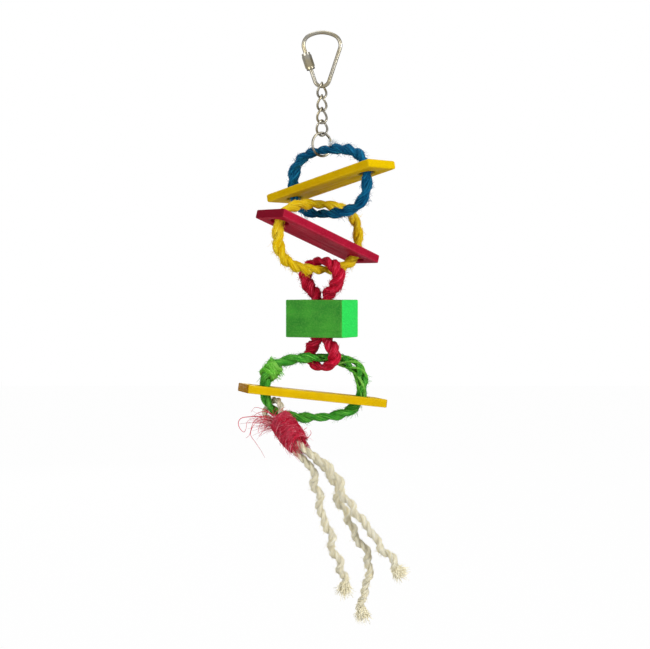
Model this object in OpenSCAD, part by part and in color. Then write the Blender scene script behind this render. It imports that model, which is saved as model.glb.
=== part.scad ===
// Hanging chew toy for cage birds: a quick link, a short chain, rope rings that
// carry painted slats and a block, and a rope tassel. The origin is the hang
// point, the inside of the quick link's top bend. X is right, Z is up.

/* [Quick link] */
// Diameter of the pear link's wire
link_wire = 2.5; // [2:0.1:3]
// Outside height of the link
link_h = 37.6; // [36.6:0.2:40]
// Outside width of the link
link_w = 26.7; // [25:0.1:28]
// Radius of the flat crown, at the middle of the wire
link_crown_r = 18; // [16:0.5:24]
// Radius of the two shoulders, at the middle of the wire
link_shoulder_r = 7; // [6:0.5:8]
// Radius of the small bottom bend, at the middle of the wire
link_bottom_r = 4.9; // [4.5:0.1:5.5]
// Gap in the left leg that the sleeve closes
gate_gap = 4; // [3:0.5:4.5]
// Length of the sleeve nut
sleeve_len = 11; // [9:0.5:11]
// Width of the sleeve nut across its flats
sleeve_flats = 5.6; // [5:0.1:6.5]
// Length of the round collar at each end of the sleeve
sleeve_collar = 1.6; // [1:0.1:2]
// Running clearance round the wire inside the sleeve
sleeve_play = 0.06; // [0.03:0.01:0.1]

/* [Chain] */
// Diameter of the chain's wire
chain_wire = 1.5; // [1.2:0.1:1.6]
// Outside length of one chain link
chain_len = 11.5; // [11:0.5:13]
// Outside width of one chain link
chain_w = 8.6; // [8.2:0.1:9.5]
// Twist of each link from its middle to its end
chain_twist = 45; // [35:1:50]
// Diameter of the jump ring's wire
jump_wire = 1.6; // [1.4:0.1:1.8]
// Radius of the jump ring, at the middle of the wire
jump_r = 7.6; // [7.4:0.1:9]

/* [Rope] */
// Diameter of the rope in the rings
rope_d = 7.2; // [6:0.1:7.6]
// Diameter of the rope where two loops bear on each other
pinch_d = 5.6; // [5:0.1:6]
// Gap left between two pieces that hang in each other
hang_gap = 0.3; // [0.2:0.05:0.5]
// Squareness of the rings, 2 is an ellipse
ring_power = 2.7; // [2.4:0.1:3]
// Extra radius at the splice of the blue and the yellow ring
splice_swell = 0.9; // [0:0.1:1.2]
// Extra radius at the knot of the green ring
knot_swell = 3.6; // [1:0.1:4]

/* [Blue ring] */
// Outside width of the blue ring
blue_w = 75; // [70:1:80]
// Outside height of the blue ring
blue_h = 49; // [46:1:54]
// Turn of the blue ring about the hang line
blue_yaw = -45; // [-50:1:-38]
// Height of the rope at the top slat's left hole, above the ring's middle
top_hole_left = -7; // [-9:0.5:-4]
// Height of the rope at the top slat's right hole, above the ring's middle
top_hole_right = 6; // [3:0.5:8]

/* [Yellow ring] */
// Outside width of the yellow ring
yellow_w = 84; // [78:1:88]
// Outside height of the yellow ring
yellow_h = 50; // [48:1:56]
// Turn of the yellow ring about the hang line
yellow_yaw = 47; // [40:1:52]
// Height of the rope at the red slat's left hole, above the ring's middle
red_hole_left = 11; // [8:0.5:12]
// Height of the rope at the red slat's right hole, above the ring's middle
red_hole_right = -11; // [-12:0.5:-8]

/* [Green ring] */
// Outside width of the green ring
green_w = 74; // [70:1:80]
// Outside height of the green ring
green_h = 46.5; // [44:0.5:52]
// Turn of the green ring about the hang line
green_yaw = 18; // [12:1:25]
// Diameter of the green ring's rope where the tassel is tied to it
tie_d = 5.6; // [5.2:0.1:6]
// Height of the rope at the lower slat's left hole, above the ring's middle
lower_hole_left = -1; // [-3:0.5:2]
// Height of the rope at the lower slat's right hole, above the ring's middle
lower_hole_right = -9; // [-9:0.5:-6]

/* [Slats] */
// Length of a slat
slat_len = 96; // [92:1:105]
// Least wood between a rope hole and the end of its slat
slat_end_wall = 4; // [3:0.5:8]
// Width of a slat
slat_w = 25; // [22:0.5:30]
// Thickness of a slat
slat_t = 5.4; // [4:0.2:6]
// Diameter of the top slat's rope holes
top_slat_hole = 10.2; // [10:0.1:12]
// Diameter of the red slat's rope holes
red_slat_hole = 12.2; // [12:0.1:14]
// Diameter of the lower slat's rope holes
lower_slat_hole = 13.4; // [13.2:0.1:14.4]
// Bevel along the edges of a slat
slat_bevel = 0.6; // [0.2:0.1:1]

/* [Block and red loop] */
// Length of the block
block_len = 41.5; // [36:0.5:46]
// Depth of the block
block_dep = 26; // [22:1:32]
// Height of the block
block_h = 24.6; // [20:0.2:27]
// Turn of the block about the hang line
block_yaw = -25; // [-40:1:0]
// Diameter of the hole through the block
block_hole = 16.4; // [16:0.1:18]
// Bevel along the edges of the block
block_bevel = 1.2; // [0.5:0.1:2]
// Diameter of the red rope
red_d = 7; // [6:0.1:7.2]
// Turn of the red loop about the hang line
red_yaw = -35; // [-45:1:-25]
// Height of the red loop above the block's top
red_rise = 25.5; // [24:0.5:30]
// Depth of the red loop below the block's bottom
red_drop = 19.5; // [18:0.5:24]

/* [Tassel] */
// Diameter of the natural rope in the fold
fold_d = 4.4; // [4:0.1:4.6]
// Diameter of the cord in the red winding
wrap_cord = 1.8; // [1.4:0.1:2]
// Turns of the red winding
wrap_turns = 11; // [8:1:14]
// Clear gap between two turns of the winding
wrap_gap = 0.5; // [0.45:0.05:0.8]
// Diameter of a tail strand
tail_d = 5.2; // [4.6:0.1:5.4]

/* [Hidden] */

nickel = "#b9bcbd";
blue_dye = "#17708f";
yellow_dye = "#e6bd1c";
red_dye = "#c81f37";
green_dye = "#3fa038";
natural = "#e2d6b4";
yellow_paint = "#dfae12";
red_paint = "#b3202d";
green_paint = "#3c9a41";

// Pear link: a crown between two shoulders, and the straight legs that touch
// the shoulders and the bottom bend
crown_z = link_wire / 2 - link_crown_r;
shoulder_x = (link_w - link_wire) / 2 - link_shoulder_r;
shoulder_z = crown_z + sqrt(pow(link_crown_r - link_shoulder_r, 2) - pow(shoulder_x, 2));
link_bottom_z = 1.5 * link_wire - link_h;
bottom_bend_z = link_bottom_z + link_bottom_r;
shoulder_rise = shoulder_z - bottom_bend_z;
// Angle at which the crown meets a shoulder
crown_end = atan2(shoulder_z - crown_z, shoulder_x);
link_lean = atan2(shoulder_x, shoulder_rise)
    + asin((link_shoulder_r - link_bottom_r) / norm([shoulder_x, shoulder_rise]));
leg_len = shoulder_x * sin(link_lean) + shoulder_rise * cos(link_lean);
// Room between the closed sleeve and the start of the shoulder
sleeve_room = 3.4;
// Length of the upper wire end that the closed sleeve covers
gate_grip = 1.6;
sleeve_top = leg_len - sleeve_room;
gate_top = sleeve_top - gate_grip;

// Chain: each link hangs one pitch below the last
chain_half_h = (chain_len - chain_wire) / 2;
chain_half_w = (chain_w - chain_wire) / 2;
chain_pitch = 2 * chain_half_h - chain_wire - hang_gap;
chain_links = 4;
// Turn of each link about the hang line, from the first one down
chain_turns = [45, 44, 37, 16];
first_link_z = link_bottom_z + (link_wire + chain_wire) / 2 + hang_gap - chain_half_h;
last_link_z = first_link_z - (chain_links - 1) * chain_pitch;
jump_z = last_link_z - chain_half_h + (chain_wire + jump_wire) / 2 + hang_gap - jump_r;
jump_yaw = 36;

// Rope rings: half width and half height at the middle of the rope, and the
// place of the ring's middle beside the hang line
blue_ring = [(blue_w - rope_d) / 2, (blue_h - rope_d) / 2, 6.7];
yellow_ring = [(yellow_w - rope_d) / 2, (yellow_h - rope_d) / 2, -2.7];
green_ring = [(green_w - rope_d) / 2, (green_h - rope_d) / 2, -5.5];

loop_step = pinch_d + hang_gap;
blue_z = jump_z - jump_r + (jump_wire + pinch_d) / 2 + hang_gap - hang_height(blue_ring);
yellow_z = blue_z - hang_height(blue_ring) + loop_step - hang_height(yellow_ring);
block_z = yellow_z - hang_height(yellow_ring) + loop_step - block_h / 2 - red_rise;
green_z = block_z - block_h / 2 - red_drop + loop_step - hang_height(green_ring);

// Height of a ring's rope above the ring's middle, on the hang line
function hang_height(ring) =
    ring[1] * pow(1 - pow(abs(ring[2] / ring[0]), ring_power), 1 / ring_power);
// Place of a ring's rope at a height, on the left (-1) or the right (1)
function rope_at(ring, height, side) =
    [ring[2] + side * ring[0] * pow(1 - pow(abs(height / ring[1]), ring_power), 1 / ring_power), height];
// Point of a ring at an angle round its middle
function ring_point(ring, angle) =
    let (reach = pow(abs(cos(angle)) / ring[0], ring_power) + pow(abs(sin(angle)) / ring[1], ring_power))
    [ring[2], 0] + pow(reach, -1 / ring_power) * [cos(angle), sin(angle)];
// A bump that is 1 at a point and fades out over a reach
function bump(point, middle, reach) = exp(-pow(norm(point - middle) / reach, 2));

function unit(v) = v / norm(v);
function turn_z(p, yaw) = [p.x * cos(yaw) - p.y * sin(yaw), p.x * sin(yaw) + p.y * cos(yaw), p.z];

// Point on a smooth curve through a list of points, at a place counted in points
function on_curve(points, place, closed) =
    let (
        count = len(points),
        base = closed ? floor(place) : min(floor(place), count - 2),
        t = place - base,
        last = count - 1,
        p0 = closed ? points[(base + last) % count] : points[max(base - 1, 0)],
        p1 = points[base % count],
        p2 = closed ? points[(base + 1) % count] : points[min(base + 1, last)],
        p3 = closed ? points[(base + 2) % count] : points[min(base + 2, last)]
    )
    0.5 * (2 * p1 + (p2 - p0) * t + (2 * p0 - 5 * p1 + 4 * p2 - p3) * t * t
        + (3 * p1 - p0 - 3 * p2 + p3) * t * t * t);

// Tube of a given radius at each point, with a reference direction at each
module tube(points, radii, refs, sides, closed) {
    count = len(points);
    last = count - 1;
    function along(i) = closed
        ? unit(points[(i + 1) % count] - points[(i + last) % count])
        : unit(points[min(i + 1, last)] - points[max(i - 1, 0)]);
    corners = [
        for (i = [0 : last])
            let (t = along(i), e1 = unit(cross(refs[i], t)), e2 = cross(t, e1))
            for (k = [0 : sides - 1])
                points[i] + radii[i] * (cos(k * 360 / sides) * e1 + sin(k * 360 / sides) * e2)
    ];
    function corner(i, k) = (i % count) * sides + k % sides;
    walls = [
        for (i = [0 : closed ? last : last - 1])
            for (k = [0 : sides - 1])
                each [
                    [corner(i, k), corner(i + 1, k), corner(i + 1, k + 1)],
                    [corner(i, k), corner(i + 1, k + 1), corner(i, k + 1)]
                ]
    ];
    caps = closed ? [] : [
        for (k = [1 : sides - 2])
            each [
                [corner(0, 0), corner(0, k), corner(0, k + 1)],
                [corner(last, 0), corner(last, k + 1), corner(last, k)]
            ]
    ];
    polyhedron(corners, concat(walls, caps), convexity = 10);
}

// Pear link

// Points on a bend of the link, from one angle to another; first is 1 where the
// bend before it already ends at its start
function link_bend(x, z, r, from, to, steps, first) = [
    for (i = [first : steps])
        let (a = from + (to - from) * i / steps)
        [x + r * cos(a), 0, z + r * sin(a)]
];

// Point on the left leg, at a distance up from the end of the bottom bend
function left_leg(up) = [
    -link_bottom_r * cos(link_lean) - up * sin(link_lean),
    0,
    bottom_bend_z - link_bottom_r * sin(link_lean) + up * cos(link_lean)
];

// One bent wire, from the upper side of the gate round to its lower side
module pear_link() {
    points = concat(
        [left_leg(gate_top)],
        link_bend(-shoulder_x, shoulder_z, link_shoulder_r, 180 + link_lean, 180 - crown_end, 10, 0),
        link_bend(0, crown_z, link_crown_r, 180 - crown_end, crown_end, 10, 1),
        link_bend(shoulder_x, shoulder_z, link_shoulder_r, crown_end, -link_lean, 10, 1),
        link_bend(0, bottom_bend_z, link_bottom_r, -link_lean, link_lean - 180, 14, 0),
        [left_leg(gate_top - gate_gap)]
    );
    color(nickel)
        tube(points, [for (p = points) link_wire / 2], [for (p = points) [0, 1, 0]], 16, false);
}

module link_sleeve() {
    flat_d = sleeve_flats / cos(30);
    color(nickel)
        translate(left_leg(sleeve_top - sleeve_len))
            rotate([0, -link_lean, 0])
                difference() {
                    union() {
                        translate([0, 0, sleeve_collar])
                            cylinder(d = flat_d, h = sleeve_len - 2 * sleeve_collar, $fn = 6);
                        for (z = [0, sleeve_len - sleeve_collar])
                            translate([0, 0, z])
                                cylinder(d = sleeve_flats, h = sleeve_collar, $fn = 48);
                    }
                    translate([0, 0, -1])
                        cylinder(d = link_wire + 2 * sleeve_play, h = sleeve_len + 2, $fn = 48);
                }
}

// Chain: an oval of wire, twisted about its length so that the links lie flat

module chain_link(index) {
    rings = 36;
    function turned(angle) = chain_twist * sin(angle);
    points = [
        for (i = [0 : rings - 1])
            let (a = i * 360 / rings)
            turn_z([chain_half_w * cos(a), 0, chain_half_h * sin(a)], turned(a))
    ];
    refs = [for (i = [0 : rings - 1]) turn_z([0, 1, 0], turned(i * 360 / rings))];
    color(nickel)
        translate([0, 0, first_link_z - (index - 1) * chain_pitch])
            rotate([0, 0, chain_turns[index - 1]])
                tube(points, [for (p = points) chain_wire / 2], refs, 8, true);
}

module jump_ring() {
    color(nickel)
        translate([0, 0, jump_z])
            rotate([0, 0, jump_yaw])
                rotate([90, 0, 0])
                    rotate_extrude($fn = 128)
                        translate([jump_r, 0])
                            circle(d = jump_wire, $fn = 32);
}

// Rope rings: thinner where they bear on a neighbour, thicker at one place

module rope_ring(ring, height, yaw, swell_angle, swell, swell_reach, tie_angle = 0, tie = 0) {
    rings = 54;
    flat = [for (i = [0 : rings - 1]) ring_point(ring, i * 360 / rings)];
    hang = hang_height(ring);
    pinch = (rope_d - pinch_d) / 2;
    pinch_reach = 1.15 * rope_d;
    radii = [
        for (p = flat)
            rope_d / 2
                - pinch * (bump(p, [0, hang], pinch_reach) + bump(p, [0, -hang], pinch_reach))
                - tie * bump(p, ring_point(ring, tie_angle), pinch_reach)
                + swell * bump(p, ring_point(ring, swell_angle), swell_reach)
    ];
    translate([0, 0, height])
        rotate([0, 0, yaw])
            tube([for (p = flat) [p.x, 0, p.y]], radii, [for (p = flat) [0, 1, 0]], 10, true);
}

blue_splice = 172;
yellow_splice = 185;
green_knot = 157;
splice_reach = 5;
knot_reach = 4.5;

module blue_rope_ring() {
    color(blue_dye)
        rope_ring(blue_ring, blue_z, blue_yaw, blue_splice, splice_swell, splice_reach);
}

module yellow_rope_ring() {
    color(yellow_dye)
        rope_ring(yellow_ring, yellow_z, yellow_yaw, yellow_splice, splice_swell, splice_reach);
}

module green_rope_ring() {
    color(green_dye)
        rope_ring(green_ring, green_z, green_yaw, green_knot, knot_swell, knot_reach,
            tassel_angle, (rope_d - tie_d) / 2);
}

// Slats: a bevelled board with a hole where each side of its ring goes through

function cut_corners(w, h, cut) = [
    [cut, 0], [w - cut, 0], [w, cut], [w, h - cut], [w - cut, h], [cut, h], [0, h - cut], [0, cut]
];

module bevelled_board(size, cut) {
    translate(-size / 2)
        intersection() {
            linear_extrude(size.z)
                polygon(cut_corners(size.x, size.y, cut));
            translate([0, size.y, 0])
                rotate([90, 0, 0])
                    linear_extrude(size.y)
                        polygon(cut_corners(size.x, size.z, cut));
            rotate([90, 0, 90])
                linear_extrude(size.x)
                    polygon(cut_corners(size.y, size.z, cut));
        }
}

module slat(ring, height, yaw, left, right, hole) {
    a = rope_at(ring, left, -1);
    b = rope_at(ring, right, 1);
    middle = (a + b) / 2;
    pitch = norm(b - a);
    length = max(slat_len, pitch + hole + 2 * slat_end_wall);
    tilt = atan2(b.y - a.y, b.x - a.x);
    translate([0, 0, height])
        rotate([0, 0, yaw])
            translate([middle.x, 0, middle.y])
                rotate([0, -tilt, 0])
                    difference() {
                        bevelled_board([length, slat_w, slat_t], slat_bevel);
                        for (side = [-1, 1])
                            translate([side * pitch / 2, 0, -slat_t])
                                cylinder(d = hole, h = 2 * slat_t, $fn = 64);
                    }
}

module top_slat() {
    color(yellow_paint)
        slat(blue_ring, blue_z, blue_yaw, top_hole_left, top_hole_right, top_slat_hole);
}

module red_slat() {
    color(red_paint)
        slat(yellow_ring, yellow_z, yellow_yaw, red_hole_left, red_hole_right, red_slat_hole);
}

module lower_slat() {
    color(yellow_paint)
        slat(green_ring, green_z, green_yaw, lower_hole_left, lower_hole_right, lower_slat_hole);
}

// Block and the red loop that goes through it

module green_block() {
    color(green_paint)
        translate([0, 0, block_z])
            rotate([0, 0, block_yaw])
                difference() {
                    bevelled_board([block_len, block_dep, block_h], block_bevel);
                    translate([0, 0, -block_h])
                        cylinder(d = block_hole, h = 2 * block_h, $fn = 64);
                }
}

// Right half of the red loop, from its top to its bottom, beside the hang line
strand_x = red_d / 2 + hang_gap;
red_top = block_h / 2 + red_rise;
red_bottom = -block_h / 2 - red_drop;
red_half = [
    [8, red_top - 2],
    [13.5, red_top - 9],
    [10.5, red_top - 16.5],
    [strand_x + 1.6, block_h / 2 + 4],
    [strand_x, block_h / 2 - 2],
    [strand_x, 0],
    [strand_x, 2 - block_h / 2],
    [strand_x + 1.4, -block_h / 2 - 3.5],
    [9, red_bottom + 11.5],
    [10, red_bottom + 6.5],
    [6, red_bottom + 1.4]
];
red_count = len(red_half);
red_route = concat(
    [[0, red_top]],
    red_half,
    [[0, red_bottom]],
    [for (i = [red_count - 1 : -1 : 0]) [-red_half[i].x, red_half[i].y]]
);

module red_rope_loop() {
    steps = 3;
    flat = [
        for (i = [0 : len(red_route) * steps - 1]) on_curve(red_route, i / steps, true)
    ];
    pinch = (red_d - pinch_d) / 2;
    radii = [
        for (p = flat)
            red_d / 2 - pinch * (bump(p, [0, red_top], red_d) + bump(p, [0, red_bottom], red_d))
    ];
    color(red_dye)
        translate([0, 0, block_z])
            rotate([0, 0, red_yaw])
                tube([for (p = flat) [p.x, 0, p.y]], radii, [for (p = flat) [0, 1, 0]], 10, true);
}

// Tassel: the rope folded over the green ring, and the winding that binds it

// Angle round the green ring at which the fold goes over its rope
tassel_angle = 205;
tassel_local = ring_point(green_ring, tassel_angle);
tassel_at = turn_z([tassel_local.x, 0, tassel_local.y + green_z], green_yaw);
// Direction of the bound stem, away from the fold
stem = unit([0.5, -0.6, -0.62]);
near_local = ring_point(green_ring, tassel_angle + 2);
ring_way = unit(turn_z([near_local.x, 0, near_local.y + green_z], green_yaw) - tassel_at);
// Direction in which the fold opens round the ring
spread = unit(cross(ring_way, stem));
depth = cross(stem, spread);

leg_x = fold_d / 2 + hang_gap / 2;
wrap_pitch = wrap_cord + wrap_gap;
wrap_len = wrap_turns * wrap_pitch;
// Distance along the stem from the ring to the winding
wrap_start = 9;
wrap_end = wrap_start + wrap_len;
// Half of the fold, from the far side of the ring to the end of the stem: along
// the spread, the stem and the depth
fold_half = [
    [4.6, -4.7, 1.8],
    [6.5, -0.4, 0.2],
    [5.4, 4.6, 0],
    [leg_x + 0.5, wrap_start - 0.5, 0],
    [leg_x, wrap_start + 4, 0],
    [leg_x, (wrap_start + wrap_end) / 2, 0],
    [leg_x, wrap_end, 0]
];
fold_count = len(fold_half);
fold_route = concat(
    [for (i = [fold_count - 1 : -1 : 0]) [-fold_half[i].x, fold_half[i].y, fold_half[i].z]],
    [[0, -6.4, 2.4]],
    fold_half
);

module tassel_loop() {
    steps = 3;
    flat = [
        for (i = [0 : (len(fold_route) - 1) * steps]) on_curve(fold_route, i / steps, false)
    ];
    points = [for (p = flat) tassel_at + p.x * spread + p.y * stem + p.z * depth];
    color(natural)
        tube(points, [for (p = points) fold_d / 2], [for (p = points) depth], 10, false);
}

// Winding: one cord in a helix round the two legs, with its ends run out straight
wrap_r = 2 * leg_x - hang_gap / 2 + hang_gap + wrap_cord / 2;
wrap_steps = 24;
function wrap_point(turn) =
    tassel_at + wrap_r * (cos(360 * turn) * spread + sin(360 * turn) * depth)
        + (wrap_start + wrap_cord / 2 + turn * wrap_pitch) * stem;
wrap_count = (wrap_turns - 1) * wrap_steps;
wrap_body = [for (i = [0 : wrap_count]) wrap_point(i / wrap_steps)];
wrap_lead = unit(wrap_body[0] - wrap_body[1]) * wrap_cord;
wrap_exit = unit(wrap_body[wrap_count] - wrap_body[wrap_count - 1]) * wrap_cord;
wrap_route = concat([wrap_body[0] + wrap_lead], wrap_body, [wrap_body[wrap_count] + wrap_exit]);

// Least clear gap between the winding and itself, at points at least half a turn apart
function wrap_clear() = min([
    for (i = [0 : len(wrap_route) - 1])
        for (j = [i + wrap_steps / 2 : 1 : min(i + 2 * wrap_steps, len(wrap_route) - 1)])
            norm(wrap_route[i] - wrap_route[j])
]) - wrap_cord;

module red_wrap() {
    echo(least_gap_of_winding = wrap_clear());
    color(red_dye)
        tube(wrap_route, [for (p = wrap_route) wrap_cord / 2], [for (p = wrap_route) stem], 6, false);
}

// Tails: three wavy strands that leave the end of the stem. Their points are
// measured from the end of the stem.
tail_gap = 0.9;
stem_end = tassel_at + (wrap_end + tail_gap) * stem;
tail_ring = 3.3;
across = unit(cross(stem, [0, 1, 0]));
behind = cross(across, stem);
function tail_root(angle) = tail_ring * (cos(angle) * across + sin(angle) * behind);
function tail_start(angle) = [tail_root(angle), tail_root(angle) + 5 * stem];

left_route = concat(tail_start(180), [
    [4.5, -3.8, -9.5], [8.5, -4, -14.5], [10, -3, -20.5], [10.5, -2, -27], [14, -1, -34.5], [14, 0, -42],
    [16, 1, -49], [20, 2, -55.5], [21, 3, -62.5], [22.5, 4, -70], [26.5, 5, -76.5], [28, 5.5, -84], [30.5, 6.5, -92]
]);
middle_route = concat(tail_start(60), [
    [10.5, 0, -8], [16, 0.5, -14], [21.5, 1.5, -21], [24.5, 2.5, -28.5], [26, 3, -36.5], [30, 3.5, -43.5],
    [33.5, 4, -51.5], [36.5, 5, -59], [41.5, 6, -65.5], [44.5, 6.5, -73], [44.5, 7.5, -81], [44.5, 8.5, -89],
    [41.5, 9, -96], [40, 10, -103], [40, 10.5, -110]
]);
right_route = concat(tail_start(-60), [
    [10, -7.5, -5.5], [17.5, -8, -11.5], [23.5, -7, -18.5], [27, -6, -26.5], [31, -5, -34.5], [36, -4, -42],
    [42, -3, -49.5], [47.5, -2, -56], [51.5, -1, -64], [57, 0, -70], [61.5, 0.5, -75.5], [64.5, 1.5, -80.5]
]);

module tail(route) {
    rings = 26;
    places = [for (i = [0 : rings - 1]) i * (len(route) - 1) / (rings - 1)];
    points = [for (place = places) stem_end + on_curve(route, place, false)];
    color(natural)
        tube(points, [for (p = points) tail_d / 2], [for (p = points) [0, 1, 0]], 8, false);
}

module chain_link_1() { chain_link(1); }
module chain_link_2() { chain_link(2); }
module chain_link_3() { chain_link(3); }
module chain_link_4() { chain_link(4); }
module tail_left() { tail(left_route); }
module tail_middle() { tail(middle_route); }
module tail_right() { tail(right_route); }

pear_link();
link_sleeve();
chain_link_1();
chain_link_2();
chain_link_3();
chain_link_4();
jump_ring();
blue_rope_ring();
top_slat();
yellow_rope_ring();
red_slat();
red_rope_loop();
green_block();
green_rope_ring();
lower_slat();
tassel_loop();
red_wrap();
tail_left();
tail_middle();
tail_right();
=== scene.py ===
"""Looks of a hanging chew toy for cage birds, built round its solids.

The quick link and the chain are bent from round wire, the boards are cut and
painted, and every rope is laid up from twisted strands along the route of its
solid. Sizes are in millimetres up to the point where a mesh is made.
"""
import random
from collections import namedtuple
from math import asin, atan2, cos, hypot, pi, radians, sin, sqrt

import bpy
import numpy as np
from mathutils import Euler, Matrix, Vector


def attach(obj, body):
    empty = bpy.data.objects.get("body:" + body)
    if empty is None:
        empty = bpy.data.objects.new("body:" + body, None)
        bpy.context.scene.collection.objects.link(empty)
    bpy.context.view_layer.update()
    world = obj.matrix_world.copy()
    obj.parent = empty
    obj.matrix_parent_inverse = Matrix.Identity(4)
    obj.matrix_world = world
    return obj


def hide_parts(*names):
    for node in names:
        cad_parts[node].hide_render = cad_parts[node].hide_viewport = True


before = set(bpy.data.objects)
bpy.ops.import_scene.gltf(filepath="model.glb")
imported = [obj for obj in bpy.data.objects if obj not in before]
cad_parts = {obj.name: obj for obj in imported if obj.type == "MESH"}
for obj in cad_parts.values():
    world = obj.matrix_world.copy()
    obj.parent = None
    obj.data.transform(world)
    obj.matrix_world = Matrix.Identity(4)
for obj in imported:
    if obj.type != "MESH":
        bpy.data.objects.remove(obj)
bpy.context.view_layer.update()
random.seed(11)

MM = 0.001
TURN = 2 * pi

# Quick link, chain and jump ring
LINK_WIRE = 2.5
LINK_H = 37.6
LINK_W = 26.7
CROWN_R = 18.0
SHOULDER_R = 7.0
LINK_BOTTOM_R = 4.9
CROWN_Z = LINK_WIRE / 2 - CROWN_R
SHOULDER_X = (LINK_W - LINK_WIRE) / 2 - SHOULDER_R
SHOULDER_Z = CROWN_Z + sqrt((CROWN_R - SHOULDER_R) ** 2 - SHOULDER_X ** 2)
BOTTOM_BEND_Z = 1.5 * LINK_WIRE - LINK_H + LINK_BOTTOM_R
SHOULDER_RISE = SHOULDER_Z - BOTTOM_BEND_Z
CROWN_END = atan2(SHOULDER_Z - CROWN_Z, SHOULDER_X)
LINK_LEAN = (atan2(SHOULDER_X, SHOULDER_RISE)
             + asin((SHOULDER_R - LINK_BOTTOM_R) / hypot(SHOULDER_X, SHOULDER_RISE)))
LEG_LEN = SHOULDER_X * sin(LINK_LEAN) + SHOULDER_RISE * cos(LINK_LEAN)
SLEEVE_ROOM = 3.4
GATE_GRIP = 1.6
GATE_TOP = LEG_LEN - SLEEVE_ROOM - GATE_GRIP
GATE_GAP = 4.0
CHAIN_WIRE = 1.5
CHAIN_HALF_W = 3.55
CHAIN_HALF_H = 5.0
CHAIN_TWIST = 45.0
CHAIN_TURNS = (45.0, 44.0, 37.0, 16.0)
CHAIN_PITCH = 8.2
FIRST_LINK_Z = -36.55
BEND_STEPS = 32
BOTTOM_STEPS = 48
OVAL_STEPS = 120

# Ropes: half width, half height and offset of each ring, its height and its turn
ROPE_R = 3.6
PINCH_R = 2.8
PINCH_REACH = 8.28
RING_POWER = 2.7
BLUE_RING = {"half": (33.9, 20.9), "offset": 6.7, "z": -96.4024, "yaw": -45.0}
YELLOW_RING = {"half": (38.4, 21.4), "offset": -2.7, "z": -132.699, "yaw": 47.0}
GREEN_RING = {"half": (33.4, 19.65), "offset": -5.5, "z": -231.487, "yaw": 18.0}
ROPE_LAY = 23.0
# Points between two given ones, and their distance apart afterwards
SPAN_STEPS = 12
ROPE_STEP = 0.8

# Slats and block
SLAT_SIZE = (96.0, 25.0, 5.4)
BLOCK_SIZE = (41.5, 26.0, 24.6)
BLOCK_Z = -185.993
BLOCK_YAW = -25.0
BLOCK_HOLE = 16.4
# Rounding of the edges and of the upright corners
SLAT_ROUND = (0.8, 1.3)
BLOCK_ROUND = (1.5, 2.0)
BORE_SIDES = 64

# Red loop
RED_R = 3.5
RED_FULL_R = 3.95
RED_YAW = -35.0
RED_TOP = 37.8
RED_BOTTOM = -31.8
RED_STRAND_X = 3.8

# Tassel
FOLD_R = 2.2
FOLD_LAY = 11.0
FOLD_STEP = 0.6
TASSEL_AT = Vector((-32.3415, -10.5084, -244.779))
STEM = Vector((0.501406, -0.601687, -0.621743))
SPREAD = Vector((-0.671076, 0.183132, -0.718415))
DEPTH = STEM.cross(SPREAD)
WRAP_START = 9.0
WRAP_END = 34.3
WRAP_R = 5.75
WRAP_CORD = 1.8
WRAP_TURNS = 11
WRAP_PITCH = 2.3
TAIL_GAP = 0.9
TAIL_R = 2.6
TAIL_RING = 3.3
STEM_END = TASSEL_AT + (WRAP_END + TAIL_GAP) * STEM

# View of the photograph
CAMERA_AT = Vector((0.002, -0.95, -0.167))
CAMERA_AIM = Vector((0.002, 0.0, -0.190))
CAMERA_LENS = 80.0
CAMERA_SENSOR = 36.0


# Working by hand

def deselect():
    """Nothing selected and nothing active, so the next operator starts clean."""
    bpy.ops.object.select_all(action="DESELECT")
    bpy.context.view_layer.objects.active = None


def pick(piece):
    """Only this piece selected and active."""
    deselect()
    piece.select_set(True)
    bpy.context.view_layer.objects.active = piece


def apply_modifiers(piece):
    """Every modifier on the piece worked into its mesh, in order."""
    pick(piece)
    for modifier in list(piece.modifiers):
        bpy.ops.object.modifier_apply(modifier=modifier.name)


def in_scene(name, data):
    """A new object with its data, put in the scene."""
    piece = bpy.data.objects.new(name, data)
    bpy.context.scene.collection.objects.link(piece)
    return piece


def join(name, pieces):
    """Several meshes joined into one piece."""
    pick(pieces[0])
    for piece in pieces[1:]:
        piece.select_set(True)
    bpy.ops.object.join()
    pieces[0].name = name
    pieces[0].data.name = name
    return pieces[0]


def dress(piece, material, slot, body, *nodes):
    """Material and body of a finished piece, and the nodes it stands for; its slot is not used."""
    piece.data.materials.clear()
    piece.data.materials.append(material)
    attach(piece, body)
    if nodes:
        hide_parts(*nodes)
    return piece


# Routes

def smooth_route(points, steps, closed=False):
    """Points on a smooth curve through the given ones."""
    points = np.array([tuple(p) for p in points], float)
    count = len(points)
    out = []
    for base in range(count if closed else count - 1):
        near = np.arange(base - 1, base + 3)
        p0, p1, p2, p3 = points[near % count if closed else np.clip(near, 0, count - 1)]
        for step in range(steps):
            t = step / steps
            out.append(0.5 * (2 * p1 + (p2 - p0) * t + (2 * p0 - 5 * p1 + 4 * p2 - p3) * t ** 2
                              + (3 * p1 - p0 - 3 * p2 + p3) * t ** 3))
    if not closed:
        out.append(points[-1])
    return np.array(out)


def distance_along(points):
    """Distance of each point from the first one, along the route."""
    return np.concatenate([[0], np.cumsum(np.linalg.norm(np.diff(points, axis=0), axis=1))])


def even_steps(points, step, closed=False):
    """The same route with its points an even distance apart."""
    points = np.array(points, float)
    if closed:
        points = np.vstack([points, points[:1]])
    far = distance_along(points)
    count = max(int(round(far[-1] / step)), 8)
    places = np.linspace(0, far[-1], count + 1)
    even = np.stack([np.interp(places, far, points[:, axis]) for axis in range(3)], 1)
    return even[:-1] if closed else even


def unit_rows(rows):
    """Each row made 1 long."""
    return rows / np.linalg.norm(rows, axis=1, keepdims=True)


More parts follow.
